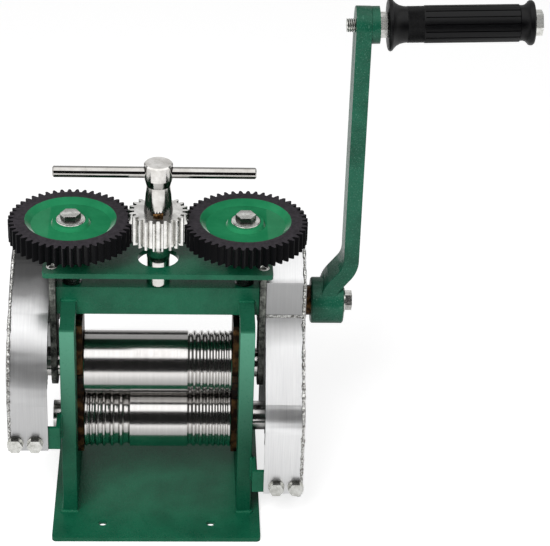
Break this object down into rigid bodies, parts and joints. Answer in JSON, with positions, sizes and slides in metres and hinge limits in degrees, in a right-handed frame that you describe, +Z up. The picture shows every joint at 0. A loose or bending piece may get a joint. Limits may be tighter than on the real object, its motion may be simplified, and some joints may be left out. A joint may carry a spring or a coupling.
{
  "type": "jewellers rolling mill",
  "caption": "Hand cranked bench rolling mill with grooved steel rolls, a geared screw adjustment under a T-handle, gear guards and a side crank.",
  "frame": {"origin": "middle of the base plate's underside, straight below the roll axes", "axes": "+Z up, +X along the rolls towards the crank, -Y towards the user"},
  "size_m": [0.3783, 0.1515, 0.3922],
  "materials": {
    "green_paint": "hammered gloss enamel",
    "crank_paint": "speckled enamel",
    "guard_steel": "brushed sheet steel",
    "roll_steel": "ground and polished",
    "bronze": "dark oiled bronze",
    "gear_black": "satin black rim with a green web",
    "handle_steel": "turned steel with light rust",
    "pinion_steel": "bright zinc plate",
    "train_steel": "cut steel, oiled",
    "grip_rubber": "matte black rubber",
    "fastener_zinc": "zinc plate",
    "strap_steel": "mottled hot rolled steel",
    "shaft_steel": "ground steel"
  },
  "bodies": {
    "root": {"base_plate": "green_paint", "side_plate_left": "green_paint", "side_plate_right": "green_paint", "cross_beam": "green_paint", "spindle_pivot_pin": "shaft_steel", "lower_bearing_left": "bronze", "lower_bearing_right": "bronze", "lift_guide_rods": "shaft_steel", "gear_guard_left": "guard_steel", "gear_guard_right": "guard_steel", "guard_bracket_left": "green_paint", "guard_bracket_right": "green_paint", "guard_bolts_left": "fastener_zinc", "guard_bolts_right": "fastener_zinc"},
    "carriage": {"top_plate": "green_paint", "strap_left": "strap_steel", "strap_right": "strap_steel", "strap_screws": "fastener_zinc", "crank_bush_left": "bronze", "crank_bush_right": "bronze", "upper_bearing_left": "bronze", "upper_bearing_right": "bronze", "idler_pin": "shaft_steel"},
    "t_handle": {"handle_spindle": "handle_steel", "handle_bar": "handle_steel", "adjusting_pinion": "pinion_steel"},
    "gear_left": {"adjusting_gear_left": "gear_black", "adjusting_screw_left": "shaft_steel", "screw_collars_left": "shaft_steel", "gear_bolt_left": "fastener_zinc"},
    "gear_right": {"adjusting_gear_right": "gear_black", "adjusting_screw_right": "shaft_steel", "screw_collars_right": "shaft_steel", "gear_bolt_right": "fastener_zinc"},
    "upper_roll": {"upper_roll": "roll_steel", "upper_roll_gear": "train_steel", "upper_roll_retainer": "fastener_zinc"},
    "lower_roll": {"lower_roll": "roll_steel", "lower_roll_gear": "train_steel", "lower_roll_retainer": "fastener_zinc"},
    "idler": {"idler_gear": "train_steel"},
    "crank": {"crank_shaft": "shaft_steel", "crank_pinion_left": "train_steel", "crank_pinion_right": "train_steel", "crank_shaft_retainer": "fastener_zinc", "crank_collar": "bronze", "crank_hub": "crank_paint", "crank_hub_bolt": "fastener_zinc", "crank_arm": "crank_paint", "grip_boss": "crank_paint", "grip_pin": "fastener_zinc", "grip_inner_nut": "fastener_zinc", "grip_end_nut": "fastener_zinc"},
    "grip": {"grip": "grip_rubber"}
  },
  "joints": [
    {"name": "handle_turn", "type": "hinge", "parent": "root", "child": "t_handle", "pos_m": [0, 0, 0.2], "axis": [0, 0, 1], "range_deg": [-1570.91, 0]},
    {"name": "carriage_lift", "type": "slide", "parent": "root", "child": "carriage", "axis": [0, 0, 1], "range_m": [0, 0.004]},
    {"name": "left_gear_turn", "type": "hinge", "parent": "carriage", "child": "gear_left", "pos_m": [-0.063, 0, 0.22], "axis": [0, 0, 1], "range_deg": [0, 720]},
    {"name": "right_gear_turn", "type": "hinge", "parent": "carriage", "child": "gear_right", "pos_m": [0.063, 0, 0.22], "axis": [0, 0, 1], "range_deg": [0, 720]},
    {"name": "crank_turn", "type": "hinge", "parent": "carriage", "child": "crank", "pos_m": [0, 0.03, 0.14795], "axis": [1, 0, 0], "continuous": true},
    {"name": "grip_spin", "type": "hinge", "parent": "crank", "child": "grip", "pos_m": [0.1484, 0.03, 0.37295], "axis": [0.9996, 0, 0.0297], "continuous": true},
    {"name": "idler_turn", "type": "hinge", "parent": "carriage", "child": "idler", "pos_m": [0, -0.00138, 0.15068], "axis": [1, 0, 0], "continuous": true},
    {"name": "upper_roll_turn", "type": "hinge", "parent": "carriage", "child": "upper_roll", "pos_m": [0, 0, 0.11095], "axis": [1, 0, 0], "continuous": true},
    {"name": "lower_roll_turn", "type": "hinge", "parent": "root", "child": "lower_roll", "pos_m": [0, 0, 0.0631], "axis": [1, 0, 0], "continuous": true}
  ],
  "couplings": [
    {"joint": "handle_turn", "follows": "carriage_lift", "rad_per_m": -6854.4},
    {"joint": "left_gear_turn", "follows": "carriage_lift", "rad_per_m": 3141.6},
    {"joint": "right_gear_turn", "follows": "carriage_lift", "rad_per_m": 3141.6},
    {"joint": "idler_turn", "follows": "crank_turn", "ratio": -1.1},
    {"joint": "upper_roll_turn", "follows": "crank_turn", "ratio": 0.66667},
    {"joint": "lower_roll_turn", "follows": "crank_turn", "ratio": -0.66667}
  ]
}
